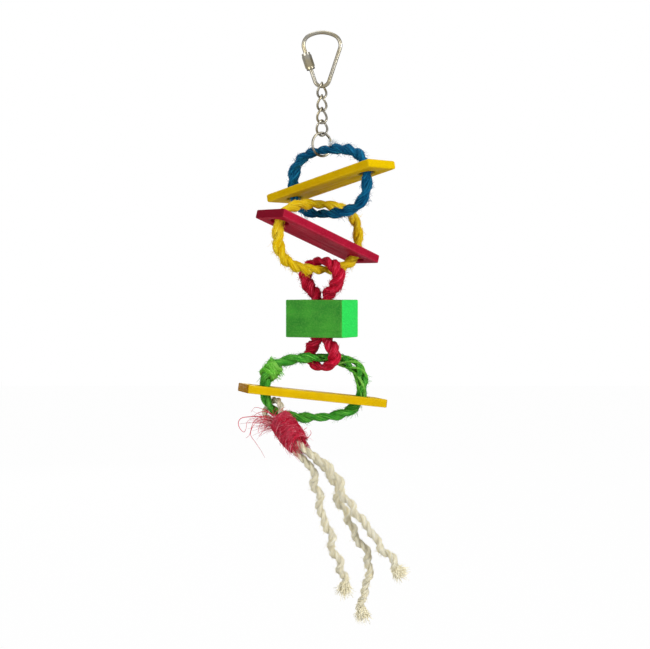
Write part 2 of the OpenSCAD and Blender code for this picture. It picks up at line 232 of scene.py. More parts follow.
def along_route(points, closed):
    """Direction of the route at each point."""
    if closed:
        return unit_rows(np.roll(points, -1, 0) - np.roll(points, 1, 0))
    return unit_rows(np.gradient(points, axis=0))


def square_to(way, ref):
    """Two directions square to a route's at each point, the first one near a reference."""
    first = unit_rows(ref - np.sum(ref * way, 1, keepdims=True) * way)
    return first, np.cross(way, first)


def squared(vector, way):
    """One vector made square to a direction and 1 long."""
    vector = vector - vector.dot(way) * way
    return vector / np.linalg.norm(vector)


def cos_sin(angle):
    """Cosine and sine of an angle in degrees."""
    return cos(radians(angle)), sin(radians(angle))


def any_side(way):
    """A chance direction square to the given one."""
    return squared(np.array([random.gauss(0, 1) for _ in range(3)]), way)


def turned_z(points, yaw, lift=0.0):
    """Points turned about the hang line and lifted."""
    c, s = cos_sin(yaw)
    points = np.array(points, float)
    return np.stack([points[:, 0] * c - points[:, 1] * s, points[:, 0] * s + points[:, 1] * c,
                     points[:, 2] + lift], 1)


def ring_flat(ring, angle):
    """Point of a rope ring in its own plane, at an angle round its middle."""
    half_w, half_h = ring["half"]
    c, s = cos_sin(angle)
    reach = (abs(c) / half_w) ** RING_POWER + (abs(s) / half_h) ** RING_POWER
    reach = reach ** (-1 / RING_POWER)
    return np.array([ring["offset"] + reach * c, 0.0, reach * s])


def hang_height(ring):
    """Height of the ring's rope on the hang line, above its middle."""
    half_w, half_h = ring["half"]
    return half_h * (1 - abs(ring["offset"] / half_w) ** RING_POWER) ** (1 / RING_POWER)


def bump(points, middle, reach):
    """1 at a point, fading out over a reach."""
    return np.exp(-(np.linalg.norm(points - np.array(middle), axis=1) / reach) ** 2)


# Strands, ropes and loose fibres

LOBE_DEPTH = 0.3
LOBE_MEAN = 0.64
TIP = 0.5
# A strand's middle and its radius, in parts of the rope's radius
STRAND_OUT = 0.41
STRAND_R = 0.58
HAIR_SIDES = 3
HAIR_TAPER = 0.75
HAIR_STEPS = (0, 0.3, 0.6, 1.0)
TONE_STEP = 0.3


def skin(name, points, ref, radii, sides, closed, lobes, lobe_depth, lobe_lay, phase=0.0):
    """One strand: a lobed section swept along its points, with its lay in a UV map.

    The map's first value is the distance along in centimetres and the second goes once round.
    """
    count = len(points)
    way = along_route(points, closed)
    e1, e2 = square_to(way, ref)
    far = distance_along(points)
    angle = np.arange(sides) * TURN / sides
    turn = angle[None, :] - TURN * far[:, None] / lobe_lay + phase
    section = radii[:, None] * (1 + lobe_depth * (np.abs(np.cos(lobes * turn / 2)) - LOBE_MEAN))
    verts = points[:, None] + section[..., None] * (np.cos(angle)[None, :, None] * e1[:, None]
                                                    + np.sin(angle)[None, :, None] * e2[:, None])
    verts = verts.reshape(-1, 3)
    faces, corners = [], []
    step = np.append(far, far[-1] + np.linalg.norm(points[0] - points[-1])) / 10
    for i in range(count if closed else count - 1):
        j = (i + 1) % count
        for k in range(sides):
            m = (k + 1) % sides
            faces.append((i * sides + k, i * sides + m, j * sides + m, j * sides + k))
            corners += [(step[i], k / sides), (step[i], (k + 1) / sides),
                        (step[i + 1], (k + 1) / sides), (step[i + 1], k / sides)]
    if not closed:
        for row, sign in ((0, -1), (count - 1, 1)):
            verts = np.vstack([verts, points[row] + sign * way[row] * radii[row] * TIP])
            for k in range(sides):
                ring = (row * sides + k, row * sides + (k + 1) % sides)
                faces.append((len(verts) - 1, *ring[::sign]))
                corners += [(step[row], k / sides)] * 3
    return mesh_piece(name, verts * MM, faces, corners)


def mesh_piece(name, verts, faces, corners):
    """A mesh with a lay map, shaded smooth."""
    mesh = bpy.data.meshes.new(name)
    mesh.from_pydata([tuple(v) for v in verts], [], faces)
    lay = mesh.uv_layers.new(name="lay")
    lay.data.foreach_set("uv", np.array(corners, np.float32).ravel())
    mesh.polygons.foreach_set("use_smooth", [True] * len(mesh.polygons))
    mesh.update()
    return in_scene(name, mesh)


def lay_rope(name, points, ref, radii, lay, closed, sides=26, lobes=6, open_lay=None):
    """Two strands twisted round a route, and the route of each strand with its radius.

    open_lay spreads the strands where the lay has come loose.
    """
    far = distance_along(points)
    length = far[-1] + (np.linalg.norm(points[0] - points[-1]) if closed else 0)
    turns = round(length / lay) if closed else length / lay
    e1, e2 = square_to(along_route(points, closed), ref)
    loose = np.zeros(len(points)) if open_lay is None else open_lay
    pieces, strands = [], []
    for strand in range(2):
        phi = TURN * turns * far / length + pi * strand
        out = np.cos(phi)[:, None] * e1 + np.sin(phi)[:, None] * e2
        wobble = 1 + 0.06 * np.sin(far * 0.9 + 1.3 + strand) * np.sin(far * 0.37 + 2 * strand)
        middle = points + (radii * (STRAND_OUT + 0.3 * loose))[:, None] * out
        thick = radii * (STRAND_R - 0.1 * loose) * wobble
        pieces.append(skin(f"{name}_{strand}", middle, out, thick, sides, closed, lobes, LOBE_DEPTH, lay / 2,
                           strand * 1.1))
        strands.append((middle, thick))
    return join(name, pieces), strands


def strand_fuzz(strands, closed, count, longest, keep):
    """Short fibres that lie along the strands and barely lift off them."""
    hairs = []
    for middle, thick in strands:
        hairs += stray_hairs(middle, thick, closed, count, longest, keep, lean=0.16, steps=4)
    return hairs


def fibres(name, hairs, thick):
    """Loose fibres, each a thin tapered tube along its own few points."""
    verts, faces, corners = [], [], []
    for hair in hairs:
        points = np.array(hair, float)
        way = along_route(points, False)
        e1 = unit_rows(np.cross(way, (0.31, 0.83, 0.46)))
        e2 = np.cross(way, e1)
        base = len(verts)
        count = len(points)
        width = thick * random.uniform(0.75, 1.25)
        for i, point in enumerate(points):
            r = width * (1 - HAIR_TAPER * i / (count - 1))
            for k in range(HAIR_SIDES):
                a = TURN * k / HAIR_SIDES
                verts.append(point + r * (cos(a) * e1[i] + sin(a) * e2[i]))
        tone = random.random() * 40
        for i in range(count - 1):
            row, u = base + i * HAIR_SIDES, tone + TONE_STEP * i
            for k in range(HAIR_SIDES):
                m = (k + 1) % HAIR_SIDES
                faces.append((row + k, row + m, row + HAIR_SIDES + m, row + HAIR_SIDES + k))
                corners += [(u, 0.2), (u, 0.4), (u + TONE_STEP, 0.4), (u + TONE_STEP, 0.2)]
        faces.append(tuple(base + k for k in reversed(range(HAIR_SIDES))))
        faces.append(tuple(base + (count - 1) * HAIR_SIDES + k for k in range(HAIR_SIDES)))
        corners += [(tone, 0.2)] * (2 * HAIR_SIDES)
    return mesh_piece(name, np.array(verts) * MM, faces, corners)


def stray_hairs(points, radii, closed, count, longest, keep, lean=0.55, steps=5):
    """Short fibres that lift off a rope's surface along its run."""
    way = along_route(points, closed)
    hairs = []
    tries = 0
    while len(hairs) < count and tries < count * 30:
        tries += 1
        i = random.randrange(len(points))
        if not keep(points[i]):
            continue
        side = any_side(way[i])
        run = way[i] * random.choice((-1, 1))
        length = longest * random.uniform(0.35, 1.0) ** 1.6
        curl = np.cross(run, side) * random.uniform(-0.5, 0.5)
        start = points[i] + side * radii[i] * 0.86
        hair = []
        for k in range(steps):
            t = k / (steps - 1)
            droop = np.array([0, 0, -0.12 * length * t * t])
            hair.append(start + length * (run * t * (1 - lean * t * 0.6) + side * lean * (t * 0.4 + t * t * 0.5)
                                          + curl * t * t) + droop)
        hairs.append(hair)
    return hairs


# Finishes

def shade(tree, kind, feeds, output=0, **settings):
    """Output of a new node, with its sockets set to plain values or wired to other sockets."""
    node = tree.nodes.new("ShaderNode" + kind)
    for key, value in settings.items():
        setattr(node, key, value)
    for label, value in feeds.items():
        if isinstance(value, bpy.types.NodeSocket):
            tree.links.new(value, node.inputs[label])
        else:
            node.inputs[label].default_value = value
    return node.outputs[output]


def math_node(tree, operation, a, b=None):
    """A math node on sockets or plain numbers."""
    return shade(tree, "Math", {0: a} if b is None else {0: a, 1: b}, operation=operation)


def times(tree, a, b):
    """One value times another."""
    return math_node(tree, "MULTIPLY", a, b)


def mix_colour(tree, factor, a, b):
    """A colour mix on sockets."""
    return shade(tree, "Mix", {0: factor, 6: a, 7: b}, 2, data_type="RGBA")


def noise(tree, vector, low, high, scale, detail=3.0, roughness=0.5):
    """Noise on a vector, stretched so that low becomes 0 and high becomes 1."""
    feeds = {"Vector": vector, "Scale": scale, "Detail": detail, "Roughness": roughness}
    return spread_out(tree, shade(tree, "TexNoise", feeds, "Fac"), low, high)


def spread_out(tree, value, low, high):
    """A value stretched so that low becomes 0 and high becomes 1."""
    feeds = {"Value": value, "From Min": low, "From Max": high}
    return shade(tree, "MapRange", feeds, "Result", clamp=True)


def vector_node(tree, operation, *feeds):
    """A vector node on sockets or plain vectors."""
    return shade(tree, "VectorMath", dict(enumerate(feeds)), operation=operation)


def split(tree, vector):
    """The three values of a vector."""
    node = tree.nodes.new("ShaderNodeSeparateXYZ")
    tree.links.new(vector, node.inputs[0])
    return node.outputs


def own_place(tree):
    """Place on the piece, in its own coordinates."""
    return shade(tree, "TexCoord", {}, "Object")


def new_group(name, **inputs):
    """A shader node group for a colour, a roughness and a height, and what it is given."""
    group = bpy.data.node_groups.new(name, "ShaderNodeTree")
    results = {"Color": "Color", "Roughness": "Float", "Height": "Float"}
    for end, sockets in (("INPUT", inputs), ("OUTPUT", results)):
        for label, kind in sockets.items():
            group.interface.new_socket(label, in_out=end, socket_type="NodeSocket" + kind)
    return group, group.nodes.new("NodeGroupInput").outputs


def end_group(group, colour, roughness, height):
    """The group with its three results wired to its end."""
    results = group.nodes.new("NodeGroupOutput").inputs
    for socket, value in zip(results, (colour, roughness, height)):
        group.links.new(value, socket)
    return group


def laid_fibre_group():
    """Fine fibres that run along a strand, with patches of the pale tone: faded dye on most ropes, painted sheen on
    the binding's red yarn.
    """
    group, given = new_group("laid_fibre", Deep="Color", Dye="Color", Pale="Color", Patches="Float")
    far, turn, _ = split(group, shade(group, "UVMap", {}, uv_map="lay"))
    around = times(group, math_node(group, "ADD", turn, times(group, far, 0.22)), TURN)
    run = shade(group, "CombineXYZ", {0: times(group, far, 0.5),
                                      1: times(group, math_node(group, "COSINE", around), 1.5),
                                      2: times(group, math_node(group, "SINE", around), 1.5)})
    streak = noise(group, run, 0.34, 0.66, 2.6, 4.0, 0.65)
    patch = noise(group, own_place(group), 0.42, 0.72, 120.0, 3.0, 0.6)
    body = mix_colour(group, streak, given["Deep"], given["Dye"])
    lit = times(group, spread_out(group, streak, 0.62, 1.0), 0.75)
    body = mix_colour(group, lit, body, given["Pale"])
    fade_and_sheen = mix_colour(group, times(group, patch, given["Patches"]), body, given["Pale"])
    return end_group(group, fade_and_sheen, spread_out(group, streak, 1.6, -0.8), streak)


def painted_pine_group():
    """Thin paint on pine: grain along the board, speckle, worn edges and ends in their own colour, partly end grain
    and partly painted light on lit and shaded ends.
    """
    group, given = new_group("painted_pine", Board="Vector", Half="Vector", Paint="Color", Deep="Color",
                             Ends="Color", Bare="Color", Speckle="Float", Wear="Float")
    board = given["Board"]
    grain = noise(group, vector_node(group, "MULTIPLY", board, (30, 420, 420)), 0.35, 0.68, 1.0, 5.0, 0.6)
    cloud = noise(group, board, 0.3, 0.7, 70.0)
    grit = noise(group, board, 0.46, 0.62, 1500.0, 2.0)
    reach = vector_node(group, "ABSOLUTE", board)
    x, y, z = split(group, vector_node(group, "SUBTRACT", given["Half"], reach))
    low, high = math_node(group, "MINIMUM", x, y), math_node(group, "MAXIMUM", x, y)
    second = math_node(group, "MAXIMUM", low, math_node(group, "MINIMUM", high, z))
    ragged = times(group, noise(group, board, 0.0, 1.0, 420.0, 4.0), 0.0024)
    worn = spread_out(group, math_node(group, "SUBTRACT", ragged, second), 0.0, 0.0007)
    end = spread_out(group, x, 0.0009, 0.0004)
    worn = times(group, times(group, worn, given["Wear"]), math_node(group, "SUBTRACT", 1.0, end))
    colour = mix_colour(group, times(group, cloud, 0.6), given["Paint"], given["Deep"])
    colour = mix_colour(group, times(group, grain, 0.35), colour, given["Deep"])
    colour = mix_colour(group, times(group, grit, given["Speckle"]), colour, given["Bare"])
    # Colour of the end faces: partly darker end grain, partly painted light and shade
    ends = mix_colour(group, times(group, grit, 0.4), given["Ends"], given["Deep"])
    colour = mix_colour(group, worn, mix_colour(group, end, colour, ends), given["Bare"])
    roughness = spread_out(group, math_node(group, "ADD", grain, grit), -1.4, 2.6)
    return end_group(group, colour, roughness, math_node(group, "ADD", grain, times(group, grit, 0.5)))


def plated_group():
    """Bright plate with a warm cast in patches, and darker, rougher patches whose colour is painted dark
    reflection.
    """
    group, given = new_group("plated_wire", Bright="Color", Warm="Color", Dull="Color")
    place = own_place(group)
    cast = noise(group, place, 0.35, 0.65, 160.0, 2.0)
    dark_patch = noise(group, place, 0.45, 0.75, 110.0, 2.0)
    colour = mix_colour(group, cast, given["Bright"], given["Warm"])
    colour = mix_colour(group, times(group, dark_patch, 0.7), colour, given["Dull"])
    return end_group(group, colour, math_node(group, "ADD", times(group, dark_patch, 0.14), 0.26), dark_patch)


def finish_with(name, group, values, bump_height, shader):
    """A material whose colour, roughness and relief come from a group."""
    material = bpy.data.materials.new(name)
    material.use_nodes = True
    tree = material.node_tree
    principled = tree.nodes["Principled BSDF"].inputs
    source = tree.nodes.new("ShaderNodeGroup")
    source.node_tree = group
    for label, value in values.items():
        source.inputs[label].default_value = value
    tree.links.new(source.outputs["Color"], principled["Base Color"])
    tree.links.new(source.outputs["Roughness"], principled["Roughness"])
    if bump_height:
        feeds = {"Strength": 1.0, "Distance": bump_height * MM, "Height": source.outputs["Height"]}
        tree.links.new(shade(tree, "Bump", feeds), principled["Normal"])
    for label, value in shader.items():
        principled[label].default_value = value
    return material, source


def rgb(red, green, blue):
    """A colour as it looks on a screen, from 0 to 255, made linear."""
    linear = [(c / 255 / 12.92) if c <= 10 else ((c / 255 + 0.055) / 1.055) ** 2.4 for c in (red, green, blue)]
    return (*linear, 1.0)


LAID_FIBRE = laid_fibre_group()
PAINTED_PINE = painted_pine_group()
PLATED = plated_group()
FIBRE_GLOSS = {"Specular IOR Level": 0.04}
PAINT_GLOSS = {"Specular IOR Level": 0.015}
FIBRE_RELIEF = 0.5
PAINT_RELIEF = 0.12
Fibre = namedtuple("Fibre", "laid loose")


def fibre_finish(name, deep, dye, pale, patches):
    """Finish of laid strands, with relief, and of loose fibres, too thin to show any."""
    tones = {"Deep": rgb(*deep), "Dye": rgb(*dye), "Pale": rgb(*pale), "Patches": patches}
    return Fibre(*(finish_with(f"{name}_{form}", LAID_FIBRE, tones, relief, FIBRE_GLOSS)[0]
                   for form, relief in (("laid", FIBRE_RELIEF), ("loose", 0.0))))


def paint_finish(name, place, turn, size, paint, deep, bare, ends, speckle, wear):
    """Paint of one board, with the grain turned to lie along it."""
    values = {"Half": tuple(c / 2 * MM for c in size), "Paint": rgb(*paint), "Deep": rgb(*deep), "Ends": rgb(*ends),
              "Bare": rgb(*bare), "Speckle": speckle, "Wear": wear}
    material, source = finish_with(name, PAINTED_PINE, values, PAINT_RELIEF, PAINT_GLOSS)
    tree = material.node_tree
    feeds = {"Vector": own_place(tree), "Location": tuple(c * MM for c in place), "Rotation": turn}
    board = shade(tree, "Mapping", feeds, vector_type="TEXTURE")
    tree.links.new(board, source.inputs["Board"])
    return material


BLUE_SISAL = fibre_finish("blue_sisal", (2, 40, 74), (10, 108, 160), (52, 170, 216), 0.2)
YELLOW_SISAL = fibre_finish("yellow_sisal", (220, 168, 0), (252, 218, 0), (255, 244, 96), 0.2)
RED_SISAL = fibre_finish("red_sisal", (160, 6, 34), (230, 24, 60), (246, 92, 122), 0.15)
GREEN_SISAL = fibre_finish("green_sisal", (28, 116, 30), (78, 190, 58), (152, 232, 100), 0.25)
LIME_TUFT = fibre_finish("lime_tuft", (74, 180, 44), (126, 222, 68), (192, 244, 132), 0.4)
NATURAL_SISAL = fibre_finish("natural_sisal", (240, 227, 184), (254, 249, 224), (255, 254, 247), 0.35)
# The red yarn's pale pink, mixed in patches, is painted sheen standing in for the yarn's shine
RED_YARN = fibre_finish("red_yarn", (176, 6, 40), (234, 24, 66), (252, 150, 172), 0.22)
# Pink fibres of the binding are painted sheen of the shiny red yarn
PINK_SHEEN_YARN = fibre_finish("pink_sheen_yarn", (226, 84, 112), (246, 164, 176), (254, 232, 222), 0.4)
FRAYED_ENDS = fibre_finish("frayed_ends", (206, 214, 218), (236, 240, 242), (252, 252, 250), 0.3)
# The plate's darkest colour, mixed in random patches, is painted dark reflection
NICKEL = finish_with("nickel_plate", PLATED, {"Bright": rgb(152, 149, 140), "Warm": rgb(150, 141, 116),
                                              "Dull": rgb(88, 84, 77)}, 0.0,
                     {"Metallic": 1.0, "Specular Tint": (0.0, 0.0, 0.0, 1.0)})[0]


# View and tails

def turn_to_part(thing):
    """A camera or lamp turned to face the middle of the view."""
    thing.rotation_euler = (CAMERA_AIM - thing.location).to_track_quat("-Z", "Y").to_euler()


def add_camera():
    """The photograph's viewpoint: level with the top of the block, looking slightly down."""
    bpy.ops.object.camera_add(location=CAMERA_AT)
    camera = bpy.context.object
    turn_to_part(camera)
    camera.data.lens = CAMERA_LENS
    camera.data.sensor_width = CAMERA_SENSOR
    bpy.context.scene.camera = camera


ACROSS = STEM.cross(Vector((0, 1, 0))).normalized()
BEHIND = ACROSS.cross(STEM)


def tail_start(angle):
    """First two points of a tail, beside the middle of the stem's end."""
    c, s = cos_sin(angle)
    root = TAIL_RING * (c * ACROSS + s * BEHIND)
    return [root, root + 5 * STEM]


# Angle of each tail round the end of the stem, then its points from there
TAILS = {
    "left": (180, [
        (4.5, -3.8, -9.5), (8.5, -4, -14.5), (10, -3, -20.5), (10.5, -2, -27), (14, -1, -34.5), (14, 0, -42),
        (16, 1, -49), (20, 2, -55.5), (21, 3, -62.5), (22.5, 4, -70), (26.5, 5, -76.5), (28, 5.5, -84),
        (30.5, 6.5, -92)]),
    "middle": (60, [
        (10.5, 0, -8), (16, 0.5, -14), (21.5, 1.5, -21), (24.5, 2.5, -28.5), (26, 3, -36.5), (30, 3.5, -43.5),
        (33.5, 4, -51.5), (36.5, 5, -59), (41.5, 6, -65.5), (44.5, 6.5, -73), (44.5, 7.5, -81), (44.5, 8.5, -89),
        (41.5, 9, -96), (40, 10, -103), (40, 10.5, -110)]),
    "right": (-60, [
        (10, -7.5, -5.5), (17.5, -8, -11.5), (23.5, -7, -18.5), (27, -6, -26.5), (31, -5, -34.5), (36, -4, -42),
        (42, -3, -49.5), (47.5, -2, -56), (51.5, -1, -64), (57, 0, -70), (61.5, 0.5, -75.5), (64.5, 1.5, -80.5)]),
}
TUFT_LENGTH = 7.5
TUFT_HAIRS = 170
TUFT_THICK = 0.34
CRIMP = 1.15
CRIMP_PITCH = 15.0
CRIMP_FROM = 12
CRIMP_GROWTH = 16
TAIL_LAY = 12.0
TAIL_STEP = 0.9
TAIL_TOP = 0.88
TAIL_FULL_AT = 22
TAIL_FLARE = 9
FLUFF_FROM = 16.0
FLUFF_HAIRS = 260
TAIL_STRAYS = 120
FLUFF_LENGTH = 5.0
FLUFF_THICK = 0.15


def end_tuft(points, radius):
    """Fibres that splay out of a tail's cut end."""
    way = along_route(points, False)[-1]
    hairs = []
    for _ in range(TUFT_HAIRS):
        side = any_side(way)
        out = random.uniform(0.05, 1.0) ** 0.5 * radius
        length = TUFT_LENGTH * random.uniform(0.5, 1.0)
        start = points[-1] - way * random.uniform(1.5, 4.5) + side * out * 0.95
        curl = np.array([random.gauss(0, 0.4) for _ in range(3)])
        hairs.append([start + way * length * t + side * (out * 0.9 * t * t) + curl * length * 0.5 * t * t
                      for t in (0, 0.3, 0.6, 0.85, 1.0)])
    return hairs


def crimped(points, phase):
    """The route with the waves that its old lay has left in a strand."""
    far = distance_along(points)
    way = along_route(points, False)
    e1 = unit_rows(np.cross(way, (0.0, 1.0, 0.0)))
    e2 = np.cross(way, e1)
    grow = np.clip((far - CRIMP_FROM) / CRIMP_GROWTH, 0, 1) * (CRIMP + 0.35 * np.sin(far * 0.11 + phase))
    turn = TURN * far / CRIMP_PITCH + phase + 0.5 * np.sin(far * 0.21)
    return points + grow[:, None] * (np.cos(turn)[:, None] * e1 + 0.5 * np.sin(turn)[:, None] * e2)


def below_binding(point):
    """True where a tail has come clear of the binding's lower end."""
    return (Vector(point) - STEM_END).length > FLUFF_FROM


def add_tails():
    """Three wavy strands below the binding, each a cord of its full length with a frayed end."""
    for side, (angle, rest) in TAILS.items():
        route = [STEM_END + Vector(p) for p in tail_start(angle) + [Vector(p) for p in rest]]
        path = even_steps(smooth_route(route, SPAN_STEPS), TAIL_STEP)
        points = crimped(path, angle)
        far = distance_along(points)
        radii = TAIL_R * (1 + 0.05 * np.sin(far * 0.55) + 0.04 * np.sin(far * 1.7 + angle))
        radii = radii * (TAIL_TOP + (1 - TAIL_TOP) * np.clip(far / TAIL_FULL_AT, 0, 1))
        radii = radii * (1 + 0.25 * np.clip((far - far[-1] + TAIL_FLARE) / TAIL_FLARE, 0, 1))
        tail, strands = lay_rope(f"tail_{side}_strand", points, np.array([0.1, 1.0, 0.05]), radii, TAIL_LAY, False,
                                 sides=18, lobes=5)
        tuft = fibres(f"tail_{side}_tuft", end_tuft(points, radii[-1]), TUFT_THICK)
        hairs = strand_fuzz(strands, False, FLUFF_HAIRS, FLUFF_LENGTH, below_binding)
        hairs += stray_hairs(points, radii, False, TAIL_STRAYS, FLUFF_LENGTH, below_binding)
        fluff = fibres(f"tail_{side}_fluff", hairs, FLUFF_THICK)
        body = f"{side}_tail"
        dress(tail, NATURAL_SISAL.laid, "natural_rope", body, f"tail_{side}")
        for extra in (tuft, fluff):
            dress(extra, NATURAL_SISAL.loose, "natural_rope", body)


# Link, chain and sleeve

def bent_wire(name, points, diameter, closed=False):
    """Round wire bent along a list of points."""
    curve = bpy.data.curves.new(name, "CURVE")
    curve.dimensions = "3D"
    curve.bevel_depth = diameter / 2 * MM
    curve.bevel_resolution = 6
    curve.use_fill_caps = True
    spline = curve.splines.new("POLY")
    spline.points.add(len(points) - 1)
    for target, point in zip(spline.points, points):
        target.co = (*(c * MM for c in point), 1.0)
    spline.use_cyclic_u = closed
    wire = in_scene(name, curve)
    pick(wire)
    bpy.ops.object.convert(target="MESH")
    bpy.ops.object.shade_smooth()
    return wire


def link_bend(x, z, r, start, stop, steps):
    """Points on one bend of the quick link."""
    return [(x + r * cos(a), 0, z + r * sin(a)) for a in np.linspace(start, stop, steps)]


def left_leg(up):
    """Point on the quick link's left leg, at a distance up from the bottom bend."""
    return (-LINK_BOTTOM_R * cos(LINK_LEAN) - up * sin(LINK_LEAN), 0,
            BOTTOM_BEND_Z - LINK_BOTTOM_R * sin(LINK_LEAN) + up * cos(LINK_LEAN))


def add_quick_link():
    """The pear-shaped link, one bent wire from one side of its gate to the other."""
    points = [left_leg(GATE_TOP)]
    points += link_bend(-SHOULDER_X, SHOULDER_Z, SHOULDER_R, pi + LINK_LEAN, pi - CROWN_END, BEND_STEPS)
    points += link_bend(0, CROWN_Z, CROWN_R, pi - CROWN_END, CROWN_END, BEND_STEPS)[1:]
    points += link_bend(SHOULDER_X, SHOULDER_Z, SHOULDER_R, CROWN_END, -LINK_LEAN, BEND_STEPS)[1:]
    points += link_bend(0, BOTTOM_BEND_Z, LINK_BOTTOM_R, -LINK_LEAN, LINK_LEAN - pi, BOTTOM_STEPS)
    points += [left_leg(GATE_TOP - GATE_GAP)]
    link = bent_wire("quick_link_wire", points, LINK_WIRE)
    dress(link, NICKEL, "nickel", "quick_link", "pear_link")


def add_chain():
    """Four curb links: each an oval of wire, twisted about its length."""
    for index, turn in enumerate(CHAIN_TURNS, 1):
        oval = []
        for a in np.linspace(0, TURN, OVAL_STEPS, endpoint=False):
            yaw = radians(turn + CHAIN_TWIST * sin(a))
            out = CHAIN_HALF_W * cos(a)
            height = FIRST_LINK_Z - (index - 1) * CHAIN_PITCH + CHAIN_HALF_H * sin(a)
            oval.append((out * cos(yaw), out * sin(yaw), height))
        link = bent_wire(f"curb_link_{index}", oval, CHAIN_WIRE, closed=True)
        dress(link, NICKEL, "nickel", f"chain_{index}", f"chain_link_{index}")


def dress_solids():
    """Solids that stay as they are get the plate's finish."""
    for node in ("link_sleeve", "jump_ring"):
        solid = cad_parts[node]
        solid.data.materials.clear()
        solid.data.materials.append(NICKEL)


# Boards

def cut_board(name, size, holes, hole_d, edge, corner, place, turn):
    """A board with rounded edges and corners and its rope holes bored through."""
    deselect()
    bpy.ops.mesh.primitive_cube_add(size=1)
    board = bpy.context.object
    board.name = name
    board.data.name = name
    bpy.ops.object.mode_set(mode="EDIT")
    bpy.ops.transform.resize(value=tuple(c * MM for c in size))
    bpy.ops.mesh.select_all(action="DESELECT")
    bpy.ops.object.mode_set(mode="OBJECT")
    for line in board.data.edges:
        a, b = (board.data.vertices[i].co for i in line.vertices)
        line.select = abs(a.z - b.z) > size[2] * MM / 2
    bpy.ops.object.mode_set(mode="EDIT")
    bpy.ops.mesh.select_mode(type="EDGE")
    bpy.ops.mesh.bevel(offset=corner * MM, segments=4)
    bpy.ops.object.mode_set(mode="OBJECT")
    for x in holes:
        deselect()
        bpy.ops.mesh.primitive_cylinder_add(vertices=BORE_SIDES, radius=hole_d / 2 * MM, depth=size[2] * 2 * MM,
                                            location=(x * MM, 0, 0))
        bore = bpy.context.object
        cut = board.modifiers.new("bore", "BOOLEAN")
        cut.operation = "DIFFERENCE"
        cut.solver = "EXACT"
        cut.object = bore
        apply_modifiers(board)
        bpy.data.objects.remove(bore)
    rounding = board.modifiers.new("edges", "BEVEL")
    rounding.width = edge * MM
    rounding.segments = 3
    rounding.limit_method = "ANGLE"
    rounding.angle_limit = radians(40)
    apply_modifiers(board)
    pick(board)
    bpy.ops.object.shade_smooth_by_angle(angle=radians(35))
    board.data.transform(Matrix.Translation(Vector(place) * MM) @ Euler(turn).to_matrix().to_4x4())
    return board


def rope_at(ring, height, side):
    """Place of a ring's rope at a height, left (-1) or right (1), in the ring's plane."""
    half_w, half_h = ring["half"]
    across = half_w * (1 - abs(height / half_h) ** RING_POWER) ** (1 / RING_POWER)
    return Vector((ring["offset"] + side * across, 0, height))


# Ring, heights of its rope in the left and the right hole, and hole size
SLATS = {
    "top": (BLUE_RING, -7.0, 6.0, 10.2),
    "red": (YELLOW_RING, 11.0, -11.0, 12.2),
    "lower": (GREEN_RING, -1.0, -9.0, 13.4),
}
# Paint, its deep tone, worn spots and ends, then how much speckle and wear; the ends' colour is partly painted
# light, lighter on lit ends and darker on shaded ones
YELLOW_PAINT = ((216, 178, 0), (188, 146, 0), (226, 196, 50))
RED_PAINT = ((176, 20, 52), (130, 12, 36), (200, 70, 90))
SLAT_PAINTS = {
    "top": (*YELLOW_PAINT, (222, 186, 2), 0.14, 0.25),
    "red": (*RED_PAINT, (122, 18, 36), 0.14, 0.25),
    "lower": (*YELLOW_PAINT, (146, 98, 8), 0.14, 0.25),
}
# The block's ends are painted far lighter than its front: painted light, as if lit by the key lamp
GREEN_PAINT = ((70, 160, 52), (26, 100, 36), (104, 172, 74), (50, 224, 92), 0.3, 0.2)


def add_slats():
    """Three painted slats, each threaded on both sides of its ring."""
    for name, (ring, left, right, hole) in SLATS.items():
        a, b = rope_at(ring, left, -1), rope_at(ring, right, 1)
        tilt = atan2(b.z - a.z, b.x - a.x)
        place = turned_z([(a + b) / 2], ring["yaw"], ring["z"])[0]
        turn = (0, -tilt, radians(ring["yaw"]))
        pitch = (b - a).length
        board = cut_board(f"{name}_slat_board", SLAT_SIZE, (-pitch / 2, pitch / 2), hole, *SLAT_ROUND, place, turn)
        material = paint_finish(f"{name}_slat_paint", place, turn, SLAT_SIZE, *SLAT_PAINTS[name])
        slot = "red_paint" if name == "red" else "yellow_paint"
        dress(board, material, slot, f"{name}_board", f"{name}_slat")


def add_block():
    """The green block on the red loop."""
    place, turn = (0, 0, BLOCK_Z), (0, 0, radians(BLOCK_YAW))
    block = cut_board("block_body", BLOCK_SIZE, (0,), BLOCK_HOLE, *BLOCK_ROUND, place, turn)
    material = paint_finish("block_paint", place, turn, BLOCK_SIZE, *GREEN_PAINT)
    dress(block, material, "green_paint", "block", "green_block")


# Ropes

def ring_route(ring):
    """A ring's rope: its points in its own plane and in place, the plane's normal, and its radii."""
    flat = np.array([ring_flat(ring, a) for a in np.arange(720) / 2])
    flat = even_steps(flat, ROPE_STEP, closed=True)
    hang = hang_height(ring)
    pinch = bump(flat, (0, 0, hang), PINCH_REACH) + bump(flat, (0, 0, -hang), PINCH_REACH)
    radii = ROPE_R - (ROPE_R - PINCH_R) * pinch
    normal = turned_z([(0, 1, 0)], ring["yaw"])[0]
    return flat, turned_z(flat, ring["yaw"], ring["z"]), normal, radii


LINK_HEIGHTS = [ring["z"] + side * hang_height(ring) for ring in (BLUE_RING, YELLOW_RING, GREEN_RING)
                for side in (-1, 1)]
LINK_SPOTS = [TASSEL_AT] + [Vector((0, 0, z)) for z in LINK_HEIGHTS]
LINK_CLEAR = 11.5
TASSEL_CLEAR = 15.0
FUZZ_HAIRS = 600
FUZZ_THICK = 0.2


def clear_of_links(point):
    """True where a rope lies away from the ropes that are linked with it."""
    near = [(Vector(point) - spot).length for spot in LINK_SPOTS]
    return near[0] > TASSEL_CLEAR and min(near) > LINK_CLEAR


